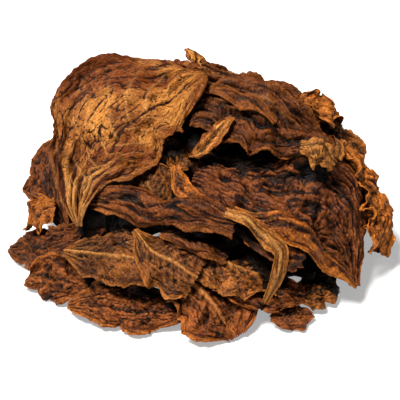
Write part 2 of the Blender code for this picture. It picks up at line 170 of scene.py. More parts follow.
def front_leaves():
    """The leaves that show from the front, lowest first."""
    small = (8, 4)
    long = (10, 4)
    return (
        Leaf("right_inner_leaf", ((40, 12, 104), (92, 2, 88), (136, -8, 58),
                                  (164, -14, 26)), 50, 42, curl_left=-15, curl_right=-20,
             ruffle=4, steps=small, colour=UMBER, seed=31),
        Leaf("left_rear_leaf", ((-128, -28, 34), (-146, 18, 52), (-152, 60, 66),
                                (-140, 92, 80)), 27, 26, curl_left=25, curl_right=-20,
             ruffle=5, ragged=0.18, steps=small, colour=DARK, seed=1),
        Leaf("right_edge_leaf", ((118, -36, 84), (146, -26, 70), (174, -8, 50),
                                 (194, 10, 28)), 32, 32, tip=0.4, curl_left=-20,
             curl_right=-25, ruffle=6, waves=4, ragged=0.16, steps=small,
             colour=ORANGE, seed=4),
        Leaf("right_rear_leaf", ((102, 48, 122), (132, 32, 112), (156, 16, 92),
                                 (176, 0, 60)), 44, 50, tip=0.4, curl_left=-20, curl_right=-20,
             ruffle=4, steps=small, colour=BROWN, seed=3),
        Leaf("far_left_leaf", ((-190, -20, 5), (-166, -38, 18), (-134, -52, 36),
                               (-106, -52, 54)), 22, 22, tip=0.5, curl_left=30,
             curl_right=-50, ruffle=5, ragged=0.15, steps=small, colour=RED_BROWN, seed=5),
        Leaf("orange_side_leaf", ((-172, -10, 18), (-154, -14, 30), (-132, -20, 44)),
             17, 18, tip=0.5, ruffle=4, ragged=0.15, steps=(6, 4), colour=ORANGE, seed=2),
        Leaf("left_foot_leaf", ((-166, -76, 6), (-147, -80, 17), (-125, -90, 20),
                                (-100, -100, 20)), 23, 24, tip=0.3, curl_left=40,
             curl_right=-110, ruffle=3, steps=small, colour=RED_BROWN, seed=6),
        Leaf("front_left_leaf", ((-120, -112, 8), (-92, -122, 18), (-60, -130, 18),
                                 (-28, -130, 14), (-4, -128, 14)), 30, 20, tip=0.4,
             curl_left=25, curl_right=-70, ruffle=4, waves=4, steps=long,
             colour=RED_BROWN, seed=7),
        Leaf("front_right_lump", ((68, -132, 10), (88, -128, 10), (110, -120, 4)),
             16, 15, curl_left=-60, curl_right=-60, ruffle=3, steps=(6, 4),
             colour=DARK, seed=8),
        Leaf("right_foot_leaf", ((90, -110, 16), (116, -100, 18), (138, -88, 8)),
             20, 18, curl_left=-40, curl_right=-60, ruffle=4, ragged=0.15,
             steps=(6, 4), colour=BROWN, seed=9),
        Leaf("front_flap_leaf", ((-6, -114, 40), (10, -126, 30), (26, -140, 15),
                                 (36, -151, 3)), 58, 36, widest=0.5, butt=0.8, tip=0.2,
             curl_left=-28, curl_right=-18, ruffle=2, steps=long, colour=RED_BROWN, seed=10),
        Leaf("crinkled_low_leaf", ((18, -112, 36), (50, -116, 28), (78, -114, 22),
                                   (100, -110, 14)), 28, 18, butt=0.6, tip=0.4,
             curl_left=30, curl_right=-60, ruffle=5, waves=5, ragged=0.15,
             colour=DARK, seed=11),
        Leaf("midrib_leaf", ((-124, -74, 42), (-95, -90, 53), (-67, -99, 56),
                             (-40, -108, 52), (-14, -118, 40)), 30, 30, widest=0.5,
             curl_left=-16, curl_right=-24, ruffle=3, steps=long, colour=BROWN, seed=12),
        Leaf("broad_brown_leaf", ((-14, -94, 60), (22, -104, 52), (50, -108, 44),
                                  (76, -106, 34)), 28, 28, butt=0.5, tip=0.6,
             curl_left=20, curl_right=-40, ruffle=4, waves=4, ragged=0.14,
             steps=long, colour=BROWN, seed=13),
        Leaf("tent_leaf", ((-56, -84, 76), (-38, -98, 60), (-16, -108, 46),
                           (2, -116, 36)), 26, 30, widest=0.62, tip=0.7,
             curl_left=-30, curl_right=-34, ruffle=3, ragged=0.12, colour=BROWN,
             seed=14),
        Leaf("rear_spike_leaf", ((8, 54, 108), (0, 62, 126), (-9, 70, 145)), 16, 15,
             tip=0.3, curl_left=50, curl_right=30, ruffle=1, buckle=1, steps=(6, 4),
             colour=TAN, seed=18),
        Leaf("dark_broad_leaf", ((152, -98, 20), (146, -66, 46), (120, -40, 74),
                                 (70, -42, 98), (2, -28, 114)), 80, 28, widest=0.55,
             butt=0.12, tip=0.5, curl_left=-45, curl_right=-30, ruffle=5, waves=4,
             buckle=3, steps=(11, 8), colour=DARK, seed=24),
        Leaf("right_crinkled_leaf", ((136, 2, 92), (154, -14, 74), (168, -32, 46),
                                     (168, -56, 18)), 26, 24, butt=0.5, tip=0.7,
             curl_left=-30, curl_right=30, ruffle=5, waves=4, ragged=0.16,
             steps=small, colour=ORANGE, seed=33),
        Leaf("wrinkled_bundle_leaf", ((4, 54, 157), (50, 57, 154), (92, 52, 142),
                                      (134, 40, 120)), 22, 38, butt=0.4, tip=0.6,
             curl_left=-35, curl_right=-10, ruffle=5, waves=4, buckle=3,
             colour=RED_BROWN, seed=15),
        Leaf("lower_bundle_leaf", ((0, 22, 144), (46, 12, 138), (88, -2, 128),
                                   (124, -14, 112)), 24, 44, butt=0.8, tip=0.6,
             curl_left=-20, curl_right=-30, ruffle=4, waves=4, buckle=3,
             colour=RED_BROWN, seed=32),
        Leaf("lobed_end_leaf", ((98, 30, 132), (120, 38, 128), (145, 45, 118)), 22, 22,
             tip=0.7, curl_left=30, curl_right=-30, ruffle=5, waves=3, ragged=0.2,
             steps=(6, 4), colour=ORANGE, seed=16),
        Leaf("small_roll_leaf", ((-34, -14, 126), (-18, -26, 120), (-4, -38, 110)),
             14, 14, butt=0.5, tip=0.5, curl_left=-90, curl_right=-60, ruffle=1,
             steps=(6, 4), colour=BROWN, seed=21),
        Leaf("shaded_leaf", ((-28, -74, 80), (-40, -56, 96), (-50, -30, 112)), 26, 28,
             curl_left=20, curl_right=15, ruffle=3, steps=small, colour=BROWN,
             seed=22),
        Leaf("pale_edge_leaf", ((-6, -38, 126), (14, -26, 129), (34, -8, 131)), 8, 8,
             butt=0.5, tip=0.4, curl_left=60, curl_right=-30, ruffle=3, waves=4,
             ragged=0.15, steps=small, colour=TAN, seed=23),
        Leaf("narrow_band_leaf", ((8, 14, 150), (24, 10, 146), (40, 3, 140),
                                  (56, -5, 132), (70, -15, 122)), 8, 8, butt=0.5,
             curl_left=60, curl_right=-90, ruffle=2, colour=RED_BROWN, seed=19),
        Leaf("pale_scroll_leaf", ((132, 14, 106), (131, -4, 100), (126, -24, 92)), 8, 8,
             butt=0.6, tip=0.6, curl_left=70, curl_right=70, ruffle=1, buckle=0,
             steps=small, colour=TAN, seed=17),
        Leaf("crinkled_curl_leaf", ((88, -34, 102), (104, -34, 98), (120, -38, 90)), 13, 13,
             butt=0.4, tip=0.4, curl_left=-80, curl_right=-80, ruffle=3, ragged=0.14,
             steps=small, colour=GOLD, seed=20),
        Leaf("golden_edge_leaf", ((-19, -46, 110), (-14, -60, 98), (-5, -69, 89),
                                  (12, -75, 82)), 10, 9, butt=0.5, tip=0.4,
             curl_left=50, curl_right=40, ruffle=2, waves=3, ragged=0.1, steps=small,
             colour=ORANGE, seed=25),
        Leaf("rolled_lip_leaf", ((32, -80, 80), (60, -90, 73), (96, -95, 60),
                                 (128, -97, 38), (149, -102, 20)), 13, 12, butt=0.5,
             curl_left=-130, curl_right=-60, ruffle=1, colour=ORANGE, seed=26),
        Leaf("lower_roll_leaf", ((-32, -88, 72), (-8, -94, 66), (30, -104, 58)), 13, 13,
             butt=0.4, tip=0.7, curl_left=-100, curl_right=-100, ruffle=1,
             steps=small, colour=RED_BROWN, seed=27),
        Leaf("long_roll_leaf", ((-108, -54, 90), (-78, -62, 86), (-50, -69, 80),
                                (-22, -80, 76), (6, -86, 70), (34, -94, 64)), 17, 17,
             butt=0.3, tip=0.7, curl_left=-110, curl_right=-110, ruffle=2,
             colour=RED_BROWN, seed=28),
        Leaf("twisted_ribbon_leaf", ((24, -92, 80), (50, -101, 74), (69, -110, 60),
                                     (70, -122, 44), (62, -132, 28)), 9, 9, butt=0.5,
             tip=0.4, curl_left=60, curl_right=60, twist=50, ruffle=1, buckle=1,
             colour=GOLD, seed=29),
        Leaf("fan_leaf", ((-106, -72, 64), (-94, -42, 98), (-68, -8, 134),
                          (-32, 12, 154), (10, 24, 158)), 78, 50, widest=0.57,
             butt=0.04, tip=0.12, curl_left=30, curl_right=-12, roll=-24, ruffle=4,
             waves=3, buckle=3, ragged=0.11, steps=(11, 8), colour=TAN, seed=30),
    )


def smooth_path(path, count=160):
    """Evenly spaced points on a smooth curve through the path."""
    knots = np.array(path, float) * MM
    knots = np.vstack([2 * knots[0] - knots[1], knots, 2 * knots[-1] - knots[-2]])
    dense = []
    for a, b, c, d in zip(knots, knots[1:], knots[2:], knots[3:]):
        t = np.linspace(0, 1, 40, endpoint=False)[:, None]
        dense.append(
            0.5 * (2 * b + (c - a) * t + (2 * a - 5 * b + 4 * c - d) * t**2
                   + (3 * b - a - 3 * c + d) * t**3)
        )
    dense = np.vstack(dense + [knots[-2][None]])
    run = np.append(0, np.cumsum(np.linalg.norm(np.diff(dense, axis=0), axis=1)))
    share = np.linspace(0, run[-1], count)
    return np.stack([np.interp(share, run, dense[:, k]) for k in range(3)], axis=1)


def unit(vectors):
    """The same directions, one unit long."""
    return vectors / np.linalg.norm(vectors, axis=-1, keepdims=True)


def half_widths(leaf, u, rng):
    """Share of the full half width at each station, for the left and right edges."""
    power = math.log(0.5) / math.log(leaf.widest)
    body = np.sin(math.pi * u**power) ** 0.8
    ends = leaf.butt * (1 - u) ** 2 + leaf.tip * u**2
    share = np.sqrt(body**2 + ends**2)
    sides = []
    for _ in range(2):
        notch = sum(
            np.sin(2 * math.pi * (cycles * u + rng.random())) / cycles**0.5
            for cycles in (1.7, 3.1, 4.6)
        )
        sides.append(share * (1 + leaf.ragged * notch * 0.6))
    return share, sides


def leaf_points(leaf, u, v):
    """Middle surface of a leaf: u runs from butt to tip and v from edge to edge."""
    rng = np.random.default_rng(leaf.seed)
    line = smooth_path(leaf.path)
    at = np.linspace(0, 1, len(line))
    slope = unit(np.gradient(line, axis=0))
    middle = np.stack([np.interp(u, at, line[:, k]) for k in range(3)], axis=-1)
    forward = unit(np.stack([np.interp(u, at, slope[:, k]) for k in range(3)], axis=-1))
    out = unit(middle - POLE)
    out = unit(out - forward * np.sum(out * forward, axis=-1, keepdims=True))
    side = np.cross(forward, out)
    turn = np.radians(leaf.roll + leaf.twist * (u - 0.5))[..., None]
    side, out = (side * np.cos(turn) + out * np.sin(turn),
                 out * np.cos(turn) - side * np.sin(turn))

    share, edges = half_widths(leaf, u, rng)
    to_right = v > 0
    width = np.where(to_right, leaf.right * edges[1], leaf.left * edges[0]) * MM
    width = np.maximum(width, STALK)
    curl = np.radians(np.where(to_right, leaf.curl_right, leaf.curl_left))
    curl = curl * np.minimum(share, 1)
    away = np.abs(v)
    across = np.zeros_like(u)
    lifted = np.zeros_like(u)
    for part in (np.arange(24) + 0.5) / 24:
        angle = curl * (away * part) ** leaf.bend
        across += np.cos(angle) / 24
        lifted += np.sin(angle) / 24
    sign = np.where(to_right, 1.0, -1.0)
    edge_angle = curl * away**leaf.bend
    normal = (out * np.cos(edge_angle)[..., None]
              - side * (sign * np.sin(edge_angle))[..., None])

    ripple = np.zeros_like(u)
    for edge in (-1, 1):
        phase = rng.random()
        wave = np.sin(2 * math.pi * (leaf.waves * u + phase))
        ripple += leaf.ruffle * wave * np.clip(edge * v, 0, 1) ** 1.6
    for _ in range(3):
        fu, fv, phase = rng.uniform(0.5, 2.2), rng.uniform(-1.0, 1.0), rng.random()
        ripple += leaf.buckle * 0.6 * np.sin(2 * math.pi * (fu * u + fv * v + phase))
    ripple *= MM * np.minimum(share, 1)
    return (middle
            + side * (sign * across * away * width)[..., None]
            + out * (lifted * away * width)[..., None]
            + normal * ripple[..., None]), width


def faces_of(rows, columns):
    """Corner numbers of the triangles of a grid of points."""
    first = (np.arange(rows)[:, None] * (columns + 1) + np.arange(columns)).ravel()
    across = first + columns + 1
    return np.vstack([np.stack([first, across, across + 1], axis=1),
                      np.stack([first, across + 1, first + 1], axis=1)])


def grid_normals(points):
    """Directions square to the surface at each point of a grid."""
    along = np.gradient(points, axis=0)
    across = np.gradient(points, axis=1)
    return unit(np.cross(across, along))


def triangle_samples(corners, fineness=16):
    """Points spread evenly over every triangle."""
    shares = [(i, j, fineness - i - j)
              for i in range(fineness + 1) for j in range(fineness + 1 - i)]
    weights = np.array(shares) / fineness
    return np.einsum("sk,tkd->tsd", weights, corners).reshape(-1, 3)


def square_centres(cell):
    """Slopes at the middles of the squares in which heights are compared."""
    centres = (np.arange(int(2 * SPREAD / cell)) + 0.5) * cell - SPREAD
    return np.meshgrid(centres, centres, indexing="ij")


class Heap:
    """How far from the pole the leaves laid so far reach, square by square."""

    def __init__(self):
        x, y = square_centres(CELL)
        self.centres = np.stack([x, y], axis=2)
        self.reach = -POLE[2] * np.sqrt(1 + x**2 + y**2) - GAP

    def squares(self, points):
        """The square that each point falls in, and its distance from the pole."""
        offset = points - POLE
        place = np.floor((offset[:, :2] / offset[:, 2:] + SPREAD) / CELL).astype(int)
        return place[:, 0], place[:, 1], np.linalg.norm(offset, axis=1)

    def both_sides(self, points, faces):
        """The squares under both sides of the blade around these points."""
        shift = grid_normals(points) * BLADE / 2
        sides = [(points + sign * shift).reshape(-1, 3)[faces] for sign in (1, -1)]
        return self.squares(triangle_samples(np.vstack(sides)))

    def lay(self, points):
        """Press the leaf clear of the heap, add it, and return its points."""
        rows, columns = points.shape[0] - 1, points.shape[1] - 1
        faces = faces_of(rows, columns)
        ray = unit(points - POLE)
        lifts = np.zeros(points.shape[:2])
        for step in range(20):
            placed = points + ray * lifts[..., None]
            x, y, far = self.both_sides(placed, faces)
            lowest = np.full(self.reach.shape, np.inf)
            np.minimum.at(lowest, (x, y), far)
            need = np.where(np.isfinite(lowest), self.reach + GAP - lowest, -1)
            tight = need > 0
            if not tight.any():
                break
            offset = placed - POLE
            slope = offset[..., :2] / offset[..., 2:]
            gap = slope[:, :, None] - self.centres[tight]
            away = np.linalg.norm(gap, axis=3) * offset[..., 2:]
            beyond = np.maximum(away - REACH * (1 + 0.4 * step), 0)
            more = need[tight] + 0.02 * MM - SLACK * beyond
            lifts += np.maximum(more.max(axis=2), 0)
        highest = np.zeros(self.reach.shape)
        np.maximum.at(highest, (x, y), far)
        self.reach = np.maximum(self.reach, highest)
        return placed


@dataclass
class Look:
    """How a leaf's surface looks: strengths, unless a comment says otherwise."""

    rib: float = -0.9  # height of the midrib in mm, or depth of its groove if negative
    veins: float = 0.5  # height of the side veins in mm
    crumple: float = 1.4  # broad dents
    wrinkle: float = 0.65  # folds and ridges
    along: float = 2.4  # how much further folds run along the leaf than across it
    fine: float = 1.0  # the smallest crinkles
    rim: float = 2.5  # how far the rim curls, in mm
    rim_width: float = 5.0  # width of the rim's own colour, in mm
    stripes: float = 0.7  # stripes that fan out of the butt
    spots: float = 0.3  # pale spots
    patches: float = 0.25  # worn, golden patches
    tone: float = 1.0  # brightness of the whole leaf


PLAIN = Look()
INNER = Look(veins=0.2, crumple=0.4, wrinkle=0.5, fine=0.8)
SMOOTH = Look(rib=1.2, veins=0.4, crumple=1.2, wrinkle=0.25, along=3.2, fine=0.6,
              patches=0.6, tone=0.95)
ROLL = Look(crumple=0.6, wrinkle=1.2, along=9.0, rim=1.0, tone=0.62)
BUNDLE = Look(rib=0.6, crumple=0.9, wrinkle=2.2, along=9.0, tone=0.48)
CRISP = Look(crumple=1.5, wrinkle=1.0, along=2.0, rim=3.5, patches=0.4, tone=0.9)
SLIM = Look(rib=1.0, crumple=0.4, wrinkle=0.8, along=6.0, rim=0.8)
BROAD = Look(rib=1.0, crumple=1.3, wrinkle=0.5, along=2.6, tone=0.9)
LOOKS = {
    "fan_leaf": Look(rib=-1.8, veins=0.9, crumple=1.3, wrinkle=0.08, along=3.0,
                     fine=0.25, rim=3.5, rim_width=13, stripes=1.6, patches=0.8,
                     tone=0.88),
    "midrib_leaf": replace(SMOOTH, rib=2.4, wrinkle=0.2, along=2.6, spots=0.9,
                           patches=0.7, tone=0.72),
    "tent_leaf": SMOOTH,
    "front_flap_leaf": replace(SMOOTH, patches=0.8, tone=1.15),
    "broad_brown_leaf": BROAD,
    "shaded_leaf": replace(BROAD, rib=0.8, crumple=1.2, tone=0.58),
    "dark_broad_leaf": Look(veins=0.4, crumple=1.5, wrinkle=1.2, along=5.0, tone=0.85),
    "wrinkled_bundle_leaf": BUNDLE,
    "lower_bundle_leaf": BUNDLE,
    "long_roll_leaf": ROLL,
    "lower_roll_leaf": ROLL,
    "narrow_band_leaf": ROLL,
    "rolled_lip_leaf": replace(ROLL, tone=0.8),
    "twisted_ribbon_leaf": replace(ROLL, rib=1.0, tone=0.8),
    "pale_scroll_leaf": replace(SLIM, rib=-0.9),
    "rear_spike_leaf": SLIM,
    "crinkled_low_leaf": Look(wrinkle=1.2, rim=3.5, tone=1.1),
    "crinkled_curl_leaf": Look(crumple=1.3, wrinkle=1.3, along=1.8, rim=3.0, tone=0.8),
    "lobed_end_leaf": replace(CRISP, tone=0.7),
    "golden_edge_leaf": Look(crumple=0.9, wrinkle=1.0, along=1.8, rim=1.6, tone=0.8),
    "orange_side_leaf": replace(CRISP, tone=0.65),
    "right_edge_leaf": CRISP,
    "right_crinkled_leaf": CRISP,
    "far_left_leaf": Look(tone=0.5),
    "left_rear_leaf": Look(tone=0.8),
    "left_foot_leaf": Look(tone=0.78),
    "front_left_leaf": Look(patches=0.5, tone=0.88),
    "small_roll_leaf": Look(tone=0.75),
}


def noise(x, y, seed):
    """Smooth random field, about -1 to 1, with features one unit wide."""
    cell_x, cell_y = np.floor(x).astype(np.int64), np.floor(y).astype(np.int64)
    fx, fy = x - cell_x, y - cell_y
    blend_x = fx**3 * (fx * (fx * 6 - 15) + 10)
    blend_y = fy**3 * (fy * (fy * 6 - 15) + 10)

    def corner(i, j):
        key = ((cell_x + i) * 374761393 + (cell_y + j) * 668265263
               + seed * 1442695041) & 0xFFFFFFFF
        key = ((key ^ (key >> 13)) * 1274126177) & 0xFFFFFFFF
        angle = ((key ^ (key >> 16)) & 0xFFFF) / 65536 * 2 * math.pi
        return np.cos(angle) * (fx - i) + np.sin(angle) * (fy - j)

    near = corner(0, 0) * (1 - blend_x) + corner(1, 0) * blend_x
    far = corner(0, 1) * (1 - blend_x) + corner(1, 1) * blend_x
    return 1.5 * (near * (1 - blend_y) + far * blend_y)


def creases(x, y, seed):
    """Random field with sharp ridges, 0 in the hollows and 1 on the ridges."""
    warp_x = x + 0.45 * noise(x * 0.8 + 7, y * 0.8, seed + 5)
    warp_y = y + 0.45 * noise(x * 0.8, y * 0.8 + 9, seed + 6)
    return (1 - np.abs(noise(warp_x, warp_y, seed))) ** 2


def smooth_weights(at, count):
    """Weights that carry values on count evenly spaced knots to the places asked for."""
    weights = np.zeros((len(at), count))
    place = at * (count - 1)
    first = np.clip(np.floor(place).astype(int), 0, count - 2)
    t = place - first
    terms = ((-t + 2 * t**2 - t**3) / 2, (2 - 5 * t**2 + 3 * t**3) / 2,
             (t + 4 * t**2 - 3 * t**3) / 2, (t**3 - t**2) / 2)
    rows = np.arange(len(at))
    for shift, term in zip((-1, 0, 1, 2), terms):
        np.add.at(weights, (rows, np.clip(first + shift, 0, count - 1)), term)
    return weights


def ramp(value, low, high):
    """Smooth rise from 0 at low to 1 at high."""
    t = np.clip((value - low) / (high - low), 0, 1)
    return t * t * (3 - 2 * t)


class Grid:
    """Places on a leaf: shares of it (u, v), and millimetres along and across (s, t)."""

    def __init__(self, leaf, spacing):
        line = smooth_path(leaf.path)
        self.length = np.linalg.norm(np.diff(line, axis=0), axis=1).sum() / MM
        rows = round(self.length / spacing)
        columns = max(FEWEST_COLUMNS, round((leaf.left + leaf.right) / spacing))
        self.stations = np.linspace(0, 1, rows + 1)
        self.lanes = np.linspace(-1, 1, columns + 1)
        self.u, self.v = np.meshgrid(self.stations, self.lanes, indexing="ij")
        self.half = np.where(self.v > 0, leaf.right, leaf.left)
        self.s, self.t = self.u * self.length, self.v * self.half
        self.row = np.where(self.v > 0, 50.0, 0.0)  # keeps the two edges unlike
        self.seed = leaf.seed * 17

    def over(self, along, across, number):
        """Random field over the blade, with features of the given sizes in mm."""
        return noise(self.s / along, self.t / across, self.seed + number)

    def edges(self, size, number):
        """Random values along the leaf, others for each edge."""
        return noise(self.s / size, self.row, self.seed + number)

    def line(self, place, size, number):
        """Random values that follow one direction only."""
        return noise(place / size, np.zeros_like(place), self.seed + number)


def torn(grid):
    """The shares (u, v) of a leaf whose rim and ends are bitten in by a few mm."""
    u, v = grid.u, grid.v
    notch = 2.2 * grid.edges(13, 1) + 1.2 * grid.edges(4.5, 2) + 0.8 * grid.edges(2.2, 3)
    notch *= np.clip(grid.half / WIDE, 0.35, 1)
    bite = np.abs(4.5 * grid.line(grid.t, 9, 4) + 2.0 * grid.line(grid.t, 3, 5))
    ends = ramp(u, 0.8, 1) - 0.6 * ramp(1 - u, 0.85, 1)
    return (np.clip(u - bite / grid.length * ends, 0, 1),
            v * (1 + (notch - 0.8) / grid.half * v**2))


def ribs(grid):
    """Midrib down the middle, side veins, and the swell of the blade between veins."""
    u, v = grid.u, grid.v
    sway = 2.5 * grid.line(grid.s, 40, 7) * np.sin(math.pi * u)
    rib = np.exp(-(((grid.t + sway) / (0.9 + 1.6 * (1 - u) ** 1.5)) ** 2))

    # The side veins leave the midrib evenly spaced and sweep towards the tip.
    source = u - 0.26 * np.abs(v) ** 1.15 + 0.012 * grid.over(15, 15, 8)
    phase = source / VEIN_STEP + np.where(v > 0, 0.37, 0.0)
    gap = np.abs(phase - np.round(phase)) * VEIN_STEP * grid.length
    fade = ramp(np.abs(v), 1.0, 0.25) * ramp(source, 0.0, 0.08) * ramp(u, 1, 0.85)
    vein = np.exp(-((gap / (0.75 + 0.4 * (1 - np.abs(v)))) ** 2)) * fade
    return rib, vein, np.cos(2 * math.pi * phase) * fade


def crinkles(grid, along):
    """Broad dents, folds, ridges, sharp lines and fine wrinkles, about -0.5 to 0.5."""
    seed = grid.seed
    s = grid.s + 5 * grid.over(21, 17, 20)  # pushed about, so that the folds wander
    t = grid.t + 3.5 * grid.over(17, 14, 21)
    close = np.clip(grid.half / WIDE, 0.5, 1)
    dents = (1.7 * (0.36 - np.abs(grid.over(34, 24, 9)))
             + 1.1 * (np.abs(noise(s / 19, t / 14, seed + 10)) - 0.32)
             + 0.5 * grid.over(24, 19, 23))
    folds = creases(s / (8 * along), t / (9 * close), seed + 11) - 0.45
    ridges = creases(s / (4.4 * along), t / (4.8 * close), seed + 12) - 0.45
    lines = (creases(s / (12 * along), t / 9, seed + 22) ** 18
             + 0.6 * creases(s / 11 + t / 13, t / 9 - s / 15, seed + 24) ** 14)
    fine = (creases(s / (2.4 * along), t / 2.5, seed + 13) - 0.45
            + 0.35 * (creases(grid.s / 2.2, grid.t / 1.7, seed + 14) - 0.45))
    return dents, folds, ridges, lines, fine


def rim_curl(grid, look, from_edge):
    """Height of the rim, which curls up in places and down in others, and frills."""
    way = grid.edges(22, 16) + 0.35
    frill = grid.edges(5.5, 17) + 0.5 * grid.edges(2.6, 18)
    lip = np.clip(1 - from_edge / (3.6 * look.rim), 0, 1) ** 2
    return look.rim * (1.9 * way + 0.7 * frill) * lip


def crinkled(leaf, look, lifts, hidden, spacing):
    """The leaf's middle surface in full detail, and what its material needs to know."""
    grid = Grid(leaf, spacing)
    u, v = (grid.u, WIDER * grid.v) if hidden else torn(grid)
    points, width = leaf_points(leaf, u, v)
    lift = (smooth_weights(grid.stations, lifts.shape[0]) @ lifts
            @ smooth_weights((grid.lanes + 1) / 2, lifts.shape[1]).T)
    points = points + unit(points - POLE) * lift[..., None]
    width = width / MM
    from_edge = (1 - np.abs(grid.v)) * width

    rib, vein, quilt = ribs(grid)
    dents, folds, ridges, lines, fine = crinkles(grid, look.along)
    fan = ramp(grid.u, 0.48, 0.04)  # the stripes fan out from the butt
    wander = 1.2 * noise(grid.s / 25, grid.v * 3, grid.seed + 15)
    stripes = np.cos(2 * math.pi * STRIPES * grid.v + wander) * fan

    # Narrow parts of a leaf are smoother than broad ones.
    thin = ramp(width, 3, 12)
    broad = np.clip(width / 26, 0.2, 1)
    height = (2.6 * look.crumple * dents * broad
              + look.wrinkle * (2.2 * folds + 2.1 * ridges) * np.clip(1.6 * broad, 0, 1)
              - 2.2 * lines * broad + look.fine * fine) * thin
    height += look.rib * rib * (1 - 0.6 * grid.u) + look.veins * (vein + 0.5 * quilt) * thin
    height += 0.9 * look.stripes * stripes * ramp(width, 2, 6)
    height += rim_curl(grid, look, from_edge) * np.minimum(thin, broad * 1.2)
    points = points + grid_normals(points) * (height * MM)[..., None]

    # Relief places painted shade in hollows, creases and grooves, and painted highlights on
    # ridges.
    relief = 0.5 + (0.30 * folds + 0.42 * ridges) * np.clip(1.6 * look.wrinkle, 0.25, 1.3)
    relief += 0.42 * fine * look.fine - 0.8 * lines * ramp(width, 10, 26)
    relief -= 0.5 * rib * (look.rib < 0) * ramp(grid.u, 0.1, 0.3)
    relief -= 0.3 * np.clip(-stripes, 0, 1) * look.stripes
    pale = np.maximum(rib * (look.rib > 0) * (1 - 0.4 * grid.u), 0.45 * vein * look.veins)
    pale += 0.6 * np.clip(stripes - 0.2, 0, 1) * look.stripes
    return points, {
        "relief": np.clip(relief, 0, 1),
        "vein": np.clip(pale, 0, 1),
        "rim": np.clip(1 - from_edge / look.rim_width, 0, 1),
        "flat": np.stack([grid.s * MM, grid.t * MM, np.full_like(grid.s, leaf.seed * 0.37)],
                         axis=-1),
    }


class Pile:
    """How far from the pole the detailed leaves reach, on finer squares than the heap's."""

    def __init__(self):
        x, y = square_centres(FINE_CELL)
        self.reach = -POLE[2] * np.sqrt(1 + x**2 + y**2)

    def squares(self, points):
        """The square that each point falls in, and its distance from the pole."""
        offset = points - POLE
        place = (offset[..., :2] / offset[..., 2:] + SPREAD) / FINE_CELL
        place = np.clip(np.floor(place).astype(int), 0, len(self.reach) - 1)
        return place[..., 0], place[..., 1], np.linalg.norm(offset, axis=-1)

    def settle(self, points):
        """Ease the leaf off those below it, by at most a few millimetres."""
        for _ in range(2):
            x, y, far = self.squares(points)
            lowest = np.full(self.reach.shape, np.inf)
            np.minimum.at(lowest, (x, y), far)
            need = np.where(np.isfinite(lowest), self.reach + GAP - lowest, 0)
            need = np.clip(need, 0, MOST_EASE)
            for _ in range(7):
                need = np.maximum(need, 0.9 * np.maximum.reduce(neighbours(need)))
            for _ in range(3):
                need = (need + sum(neighbours(need))) / 5
            points = points + unit(points - POLE) * need[x, y][..., None]
        x, y, far = self.squares(points)
        np.maximum.at(self.reach, (x, y), far)
        return points

    def depth(self, points):
        """How deep under the heap's outside each point lies."""
        x, y, far = self.squares(points)
        return np.maximum(self.reach[x, y] - far, 0)


def neighbours(values):
    """The grid of values moved by one square each way."""
    return [np.roll(values, way, axis) for axis in (0, 1) for way in (1, -1)]


def shell_faces(rows, columns):
    """Four-sided faces of a closed thin shell: upper side, underside and rim."""
    count = (rows + 1) * (columns + 1)
    first = (np.arange(rows)[:, None] * (columns + 1) + np.arange(columns)).ravel()
    top = np.stack([first, first + columns + 1, first + columns + 2, first + 1], axis=1)
    grid = np.arange(count).reshape(rows + 1, columns + 1)
    ring = np.concatenate([grid[:-1, 0], grid[-1, :-1], grid[:0:-1, -1], grid[0, :0:-1]])
    after = np.roll(ring, -1)
    rim = np.stack([ring, ring + count, after + count, after], axis=1)
    return top, top[:, ::-1] + count, rim


def flat_layout(rows, columns, top, rim_count):
    """Upper side and underside side by side, with the rim as a strip along the end."""
    uu, vv = np.meshgrid(np.linspace(0, 1, rows + 1), np.linspace(0, 1, columns + 1),
                         indexing="ij")
    flat = np.stack([0.01 + 0.47 * vv.ravel(), 0.01 + 0.95 * uu.ravel()], axis=1)
    over = flat[top.ravel()]
    below = flat[top[:, ::-1].ravel()] + [0.5, 0]
    spot = np.linspace(0.01, 0.99, rim_count + 1)
    low, high = np.full(rim_count, 0.975), np.full(rim_count, 0.99)
    strip = np.stack([spot[:-1], low, spot[:-1], high, spot[1:], high, spot[1:], low], axis=1)
    return np.vstack([over, below, strip.reshape(-1, 2)])


def leaf_mesh(name, points, facts):
    """Closed thin shell around the middle surface, with the facts at its points."""
    rows, columns = points.shape[0] - 1, points.shape[1] - 1
    shift = grid_normals(points) * THIN_BLADE / 2
    verts = np.vstack([(points + shift).reshape(-1, 3), (points - shift).reshape(-1, 3)])
    top, under, rim = shell_faces(rows, columns)
    faces = np.vstack([top, under, rim])

    mesh = bpy.data.meshes.new(name)
    mesh.vertices.add(len(verts))
    mesh.vertices.foreach_set("co", verts.ravel().astype(np.float32))
    mesh.loops.add(faces.size)
    mesh.loops.foreach_set("vertex_index", faces.ravel().astype(np.int32))
    mesh.polygons.add(len(faces))
    mesh.polygons.foreach_set("loop_start", np.arange(0, faces.size, 4, dtype=np.int32))
    mesh.update(calc_edges=True)
    mesh.polygons.foreach_set("use_smooth", np.ones(len(faces), bool))
    layout = mesh.uv_layers.new(name="OFBake")
    layout.data.foreach_set("uv", flat_layout(rows, columns, top, len(rim)).ravel())

    for key, value in facts.items():
        kind, field = (("FLOAT_VECTOR", "vector") if value.ndim == 3
                       else ("FLOAT", "value"))
        both_sides = np.tile(value.reshape(len(verts) // 2, -1), (2, 1))
        made = mesh.attributes.new(key, kind, "POINT")
        made.data.foreach_set(field, both_sides.ravel().astype(np.float32))
    mesh.validate()
    return mesh


@dataclass
class Tones:
    """Colours of one kind of leaf."""

    # The first colour is near-black painted shade for hollows and creases, and also dark
    # flecks.
    shade_and_fleck: tuple
    blade: tuple
    # The third colour is that of worn golden patches, and also a painted highlight on the
    # ridges.
    worn_and_highlight: tuple
    rib: tuple
    rim: tuple


